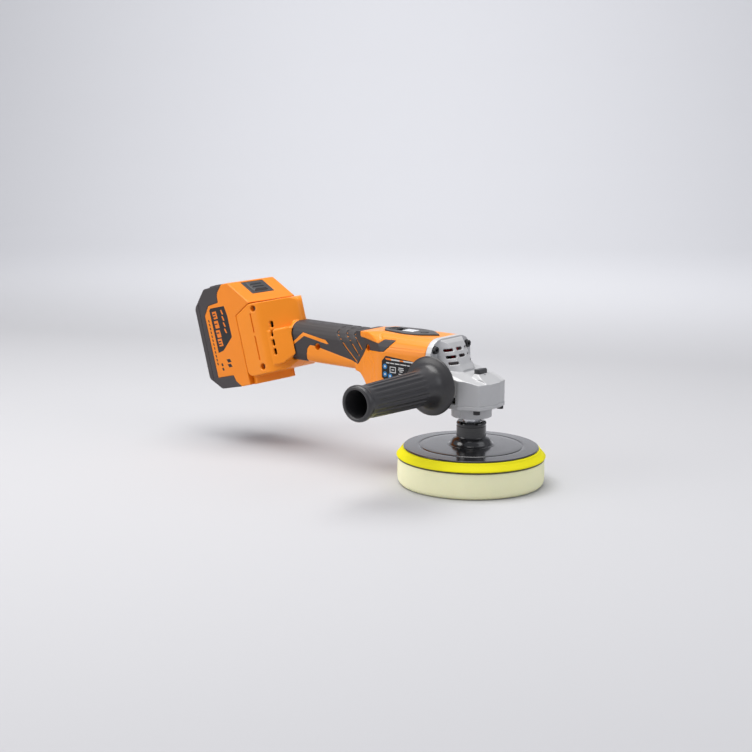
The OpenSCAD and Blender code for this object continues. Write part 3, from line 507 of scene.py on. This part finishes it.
padProfile = np.concatenate([
    [[0, 0], [20, 0], [40, 0], [55, 0], [62, 0], [66, 0]],
    arcPoints(pad["radius"] - pad["edge"], pad["edge"], pad["edge"], -90, 0, 9),
    [[pad["radius"], h] for h in np.linspace(7, pad["height"] - 1.5, 9)],
    arcPoints(pad["radius"] - 1, pad["height"] - 1, 1, 15, 90, 5),
    [[60, pad["height"]], [30, pad["height"]], [0, pad["height"]]]])
foamPad = revolve("foamPad", padProfile, turns=160, smooth=60, shape=padShape)
finished(foamPad, "spindle_head", "foam_cream", finishes["foam_cream"], "foam_pad")

# backing plate, in millimetres: crown is how far its middle rises, notches are cut in the hub's top
plate = {"radius": 68.1, "rim": 36.1, "crown": 2.1, "notches": 6, "notchTurn": 25}
crown = lambda r: plate["rim"] + 1.5 + plate["crown"] * (1 - (r / plate["radius"]) ** 2)
plateProfile = np.concatenate([
    [[0, 36.0], [30, 36.0], [66.6, 36.0]],
    arcPoints(plate["radius"] - 0.9, 36.9, 0.9, -90, 60, 8),
    [[r, crown(r)] for r in (66.5, 64, 60, 56, 53.4)],
    [[52.9, crown(53) - 0.1], [52.4, crown(52) - 0.5], [51.6, crown(52) - 0.5], [51.1, crown(51) - 0.1]],
    [[r, crown(r)] for r in (50.5, 44, 36, 28, 24)],
    arcPoints(24, 43.6, 3.9, -92, -170, 8),
    [[19.2, 45.0], [17.6, 46.6], [15.6, 47.2], [15.05, 47.8], [15, 48.6], [15, 58.6], [14.5, 58.9],
     [14.4, 60.2], [15, 60.5], [15, 62.2], [14.2, 63.2], [13.2, 63.5], [10.4, 63.5], [10.2, 63.0],
     [10.05, 44.2], [0, 44.2]]])
backingPlate = revolve("backingPlate", plateProfile, turns=160, smooth=50)
notchOutline = [[-1.7, 61.2], [1.7, 61.2], [1.7, 66], [-1.7, 66]]
notches = [prism("hubNotch", notchOutline, "x", 11, 18) for k in range(plate["notches"])]
for k, notch in enumerate(notches):
    turn = math.radians(360 / plate["notches"] * k + plate["notchTurn"])
    notch.data.transform(Matrix.Rotation(turn, 4, "Z"))
cut(backingPlate, notches)
shade(backingPlate, 40)
finished(backingPlate, "spindle_head", "plate_black", finishes["plate_black"], "backing_plate")

cushionProfile = np.concatenate([
    [[0, 27.9], [60, 27.9], [74.0, 27.9]],
    arcPoints(74.3, 28.7, 0.75, -80, 40, 6),
    [[73.2, 31.0], [71.4, 33.2], [69.8, 35.0]],
    arcPoints(69.0, 35.3, 0.7, 40, 90, 4), [[50, 36.0], [0, 36.0]]])
plateCushion = revolve("plateCushion", cushionProfile, turns=160, smooth=50)
finished(plateCushion, "spindle_head", "cushion_yellow", finishes["cushion_yellow"], "plate_cushion")
print("pad stack made")

# side handle: where its axis lies, and the ribs of its grip
handle = {"x": -18.9, "z": 103.0, "ribs": 20, "ribDepth": 0.55}


def handleShape(r, h, phi):
    # shallow flutes between raised ribs, fading out at both ends of the grip
    along = -h
    zone = np.clip((along - 66) / 8, 0, 1) * np.clip((146 - along) / 8, 0, 1)
    flute = np.clip(np.cos(handle["ribs"] * phi) * 2.2 - 0.2, -1, 1)
    outer = (r > 14.2) & (r < 18.5)
    return r + np.where(outer, zone * handle["ribDepth"] * flute, 0), h


gripLine = [[0, 30.6], [7.4, 30.6], [7.6, 30.9], [7.6, 34.4], [11.4, 34.5], [11.8, 35.0], [12.0, 39.5],
            [12.8, 41.2]]
gripLine += [[20, 42.0], [27.5, 42.4], [28.9, 42.7], [29.6, 43.6], [29.7, 44.3], [29.5, 45.2],
             [28.6, 46.0], [27.2, 46.5]]
gripLine += [[24.5, 47.2], [22.0, 48.6], [20.3, 50.6], [19.2, 53.2], [18.5, 56.5], [18.0, 60], [17.6, 64]]
gripLine += [[17.4 - 1.9 * t, 66 + 80 * t] for t in np.linspace(0, 1, 34)]
gripLine += [[15.3, 148.5], [15.3, 150.0], [15.9, 151.0], [16.9, 151.8], [17.5, 153.0], [17.7, 154.6],
             [17.6, 156.4]]
gripLine += [[17.0, 158.0], [16.1, 158.8], [15.2, 159.0], [14.2, 158.9], [13.5, 158.5], [13.2, 157.6],
             [12.9, 150], [12.2, 110], [12.0, 94], [11.4, 92.2], [9.6, 91.6], [0, 91.6]]
sideHandle = revolve("sideHandle", [[r, -h] for r, h in gripLine], (handle["x"], 0, handle["z"]), "y",
                     240, 50, handleShape)
finished(sideHandle, "tool", "handle_black", finishes["handle_black"], "side_handle")
print("side handle made")


def points(piece):
    # the mesh's points and their outward directions, in millimetres
    mesh = piece.data
    co = np.empty(len(mesh.vertices) * 3)
    mesh.vertices.foreach_get("co", co)
    normals = np.empty(len(mesh.vertices) * 3)
    mesh.vertex_normals.foreach_get("vector", normals)
    return co.reshape(-1, 3) / mm, normals.reshape(-1, 3)


def lineDistance(flat, line):
    # distance of every point to the nearest piece of a line, all in the side view
    best = np.full(len(flat), 1e9)
    for a, b in zip(line[:-1], line[1:]):
        a, b = np.array(a, float), np.array(b, float)
        t = np.clip((flat - a) @ (b - a) / ((b - a) @ (b - a)), 0, 1)
        best = np.minimum(best, np.linalg.norm(flat - a - t[:, None] * (b - a), axis=1))
    return best


def carve(piece, lines, half, depth, outside=12.0):
    # presses soft grooves into the skin along lines of the side view, shallower near the middle plane
    p, n = points(piece)
    d = np.full(len(p), 1e9)
    for line in lines:
        d = np.minimum(d, lineDistance(p[:, [0, 2]], line))
    push = depth * np.clip(1.6 * np.exp(-(d / half) ** 2), 0, 1)
    push[np.abs(p[:, 1]) < outside] *= 0.6
    push[p[:, 1] * n[:, 1] < 0] = 0
    moved = (p - n * push[:, None]) * mm
    piece.data.vertices.foreach_set("co", moved.ravel())
    piece.data.update()


def thin(piece, keep):
    # keeps this share of the triangles
    mod = piece.modifiers.new("thin", "DECIMATE")
    mod.ratio = keep
    settle(piece)
    shade(piece, 180)


def joined(piece, others):
    # several closed meshes kept as one object
    verts, faces = [], []
    for item in [piece] + others:
        base = len(verts)
        verts += [tuple(v.co) for v in item.data.vertices]
        faces += [[base + k for k in f.vertices] for f in item.data.polygons]
    mesh = bpy.data.meshes.new(piece.name)
    mesh.from_pydata(verts, [], faces)
    piece.data = mesh
    for item in others:
        bpy.data.objects.remove(item)
    shade(piece, 40)
    return piece


# gear head, its flange and the lock's button
gearHead = soften(cadCopy("gear_case", "gearHead"), 0.5, 3, 0.45)
# the pocket under the lock's button, cut again so that the softened case leaves room for the stroke
pocket = {"x": 11, "radius": 7.35, "floor": 108.1, "front": 13.8}
pocketWall = [[0, pocket["floor"]], [pocket["radius"], pocket["floor"]], [pocket["radius"], 125], [0, 125]]
lockRoom = revolve("lockRoom", pocketWall, (pocket["x"], 0, 0), turns=96)
pocketSide = [[0, -20], [pocket["front"], -20], [pocket["front"], 20], [0, 20]]
cut(lockRoom, prism("lockSide", pocketSide, "z", 100, 130), "INTERSECT")
cut(gearHead, lockRoom)
shade(gearHead, 45)
finished(gearHead, "tool", "case_alloy", finishes["case_alloy"], "gear_case")
collar = soften(cadCopy("bearing_flange", "spindleCollar"), 0.45, 2, 0.6)
finished(collar, "tool", "case_alloy", finishes["case_alloy"], "bearing_flange")
lockKnob = soften(cadCopy("lock_button", "lockKnob"), 0.3, 4)
finished(lockKnob, "spindle_lock", "button_black", finishes["button_black"], "lock_button")
for label, node in (("caseScrews", "gear_case_screws"), ("flangeScrews", "flange_screws"),
                    ("shellScrews", "housing_screws")):
    screws = soften(cadCopy(node, label), 0.22, 2, 0.5)
    finished(screws, "tool", slots[node], finishes[slots[node]], node)
print("gear head made")

# orange shells; lines are [x, z] points of the side view in millimetres
shell = {
    "seam": [[-87, 132.6], [-60, 133.3], [-36.5, 133.8]],
    "facet": [[-99.2, 145.6], [-96.5, 142.5], [-93.2, 140.4], [-94.4, 136.2]],
    "stripe": [[-228, 117], [-218.9, 124.5], [-209.3, 132.6], [-177.1, 127.8], [-173.1, 124.2],
               [-175.6, 123.7], [-207.6, 129.0], [-219.2, 120.5], [-228, 113.5]],
    "chevrons": [[[-160.5, 144], [-162.9, 140], [-162.8, 136.9], [-157.6, 131.6], [-148.5, 122.1],
                  [-134.7, 109.7]],
                 [[-148.5, 144], [-151, 140], [-150.5, 137.3], [-144.9, 131.9], [-131.6, 116.5]],
                 [[-136.5, 144], [-139.6, 140], [-139.7, 137.6], [-134.8, 132.7], [-127.5, 123.5]]],
    "groove": 0.9,
    "grooveDepth": 1.5,
    "slots": [[166, 192.7], [196.5, 217.6]],
    "fan": [[[-109, 122.5], [-101, 113.5], [-99.5, 97]], [[-114, 118.5], [-106, 106], [-106.5, 97]]],
}
for side, tag in ((-1, "Right"), (1, "Left")):
    sideName = tag.lower()
    skin = soften(cadCopy("grip_skin_" + sideName, "gripSkin" + tag), 0.4, 3)
    stripe = cut(twin(skin, "stripe"), prism("stripeTool", shell["stripe"], "y", -60, 60), "INTERSECT")
    cut(skin, prism("stripeRoom", shell["stripe"], "y", -60, 60))
    carve(skin, shell["chevrons"], shell["groove"], shell["grooveDepth"])
    thin(skin, 0.5)
    finished(skin, "tool", "overmould", finishes["overmould"], "grip_skin_" + sideName)
    body = soften(cadCopy("housing_" + sideName, "shell" + tag), 0.7, 3)
    for bottom, top in shell["slots"]:
        outline = [[-218.9, bottom], [-217.2, bottom], [-217.2, top], [-218.9, top]]
        cut(body, prism("slotTool", outline, "y", side * 40, side * 35.6, leaning=True))
    carve(body, [shell["seam"]], 0.5, 0.35, outside=20)
    carve(body, [shell["facet"]], 0.7, 0.4, outside=8)
    carve(body, shell["fan"], 0.8, 0.3, outside=14)
    thin(body, 0.42)
    joined(body, [stripe])
    finished(body, "tool", "orange", finishes["orange"], "housing_" + sideName)
print("shells and grip skins made")

# top panel, its window, slide and button
topParts = {  # piece: solid, body, voxel in millimetres, smoothing passes, share of triangles kept
    "topPanel": ("control_panel", "tool", 0.35, 3, 0.5),
    "panelLens": ("display_window", "tool", 0.2, 3, 0.5),
    "slideKey": ("power_slide", "switch", 0.25, 3, 0.5),
    "roundKey": ("speed_button", "speed_key", 0.2, 3, 0.5),
    "labelPlate": ("rating_label", "tool", 0.12, 2, 0.25),
}
for label, (node, body, voxel, passes, keep) in topParts.items():
    item = soften(cadCopy(node, label), voxel, passes, keep)
    finished(item, body, slots[node], finishes[slots[node]], node)
print("panel and label made")

# battery pack
packParts = {  # piece: solid, voxel in millimetres, smoothing passes, share of triangles kept
    "packFront": ("pack_top", 0.6, 3, 0.45),
    "packBand": ("pack_base", 0.6, 2, 0.45),
    "packEnd": ("pack_end_cap", 0.6, 3, 0.45),
    "packBumper": ("pack_bumper", 0.35, 6, 0.6),
    "latchKey": ("latch_button", 0.3, 2, 0.5),
}
for label, (node, voxel, passes, keep) in packParts.items():
    item = soften(cadCopy(node, label), voxel, passes)
    thin(item, keep)
    body = "battery_latch" if node == "latch_button" else "battery"
    finished(item, body, slots[node], finishes[slots[node]], node)
print("battery made")


def stage():
    # a pale floor that bends up into a far wall, as one sheet: flat, then a quarter circle, then upright
    s = np.linspace(0, 1, 40)
    bend = 1.2
    turned = np.clip((s - 0.5) * 4, 0, 1) * np.pi / 2
    y = np.where(s < 0.5, -3 + 10 * s, 2 + bend * np.sin(turned))
    z = np.where(s < 0.5, 0, bend - bend * np.cos(turned) + np.maximum(s - 0.75, 0) * 12)
    x = np.linspace(-6, 6, 30)
    pts = np.stack([np.repeat(x[None, :], 40, 0), np.repeat(y[:, None], 30, 1),
                    np.repeat(z[:, None], 30, 1)], -1)
    turn = math.radians(39)
    flat = pts.copy()
    flat[..., 0] = pts[..., 0] * math.cos(turn) - pts[..., 1] * math.sin(turn)
    flat[..., 1] = pts[..., 0] * math.sin(turn) + pts[..., 1] * math.cos(turn)
    floor = meshObject("paleFloor", flat.reshape(-1, 3), gridFaces(40, 30, False), 180)
    floor.data.materials.append(surface("palePaper", (0.52, 0.52, 0.535), 0.9, patch=2.0, fine=300,
        drift=0.015, bump=0.05, specular=0.2))


stage()
world = bpy.data.worlds.new("studio")
world.use_nodes = True
world.node_tree.nodes["Background"].inputs["Color"].default_value = (0.90, 0.92, 1.0, 1)
world.node_tree.nodes["Background"].inputs["Strength"].default_value = 0.47
bpy.context.scene.world = world
# place and at are in metres, size is the square's side in metres and power is in watts
lamps = {
    "topSoftbox": dict(place=(-0.3, -0.1, 1.5), size=1.3, power=27, tint=(1, 0.99, 0.97),
        at=(-0.1, 0, 0.1)),
    "leftSoftbox": dict(place=(-1.2, -1.7, 0.9), size=1.1, power=16, tint=(1, 0.98, 0.96),
        at=(-0.1, 0, 0.1)),
    "rightSoftbox": dict(place=(1.4, 0.3, 1.0), size=1.0, power=4, tint=(0.95, 0.97, 1.0),
        at=(-0.1, 0, 0.1)),
    "wallSoftbox": dict(place=(-0.9, 1.0, 1.6), size=1.6, power=42, tint=(0.97, 0.98, 1.0),
        at=(-1.6, 2.6, 1.0)),
}
for label, lamp in lamps.items():
    light = bpy.data.lights.new(label, "AREA")
    light.shape = "SQUARE"
    light.size = lamp["size"]
    light.energy = lamp["power"]
    light.color = lamp["tint"]
    holder = bpy.data.objects.new(label, light)
    holder.location = lamp["place"]
    aim = Vector(lamp["at"]) - Vector(lamp["place"])
    holder.rotation_euler = aim.to_track_quat("-Z", "Y").to_euler()
    bpy.context.scene.collection.objects.link(holder)

# angles in degrees, place in metres and lens in millimetres
view = {"azimuth": 39.06, "drop": 10.98, "roll": 0.32, "place": (0.89968, -1.26099, 0.40827), "lens": 75.53}


def cameraFrom(v):
    # the camera looks back along its own Z axis: turned by the azimuth, tipped down and rolled slightly
    az, pitch, roll = (math.radians(v[k]) for k in ("azimuth", "drop", "roll"))
    back = Vector((math.sin(az) * math.cos(pitch), -math.cos(az) * math.cos(pitch), math.sin(pitch)))
    right = Vector((math.cos(az), math.sin(az), 0))
    up = back.cross(right)
    x = right * math.cos(roll) + up * math.sin(roll)
    y = up * math.cos(roll) - right * math.sin(roll)
    lens = bpy.data.cameras.new("studioCamera")
    lens.lens = v["lens"]
    lens.sensor_width = 36
    camera = bpy.data.objects.new("studioCamera", lens)
    camera.matrix_world = Matrix([[*t, p] for t, p in zip(zip(x, y, back), v["place"])] + [[0, 0, 0, 1]])
    bpy.context.scene.collection.objects.link(camera)
    bpy.context.scene.camera = camera


cameraFrom(view)
bpy.context.scene.view_settings.view_transform = "Standard"
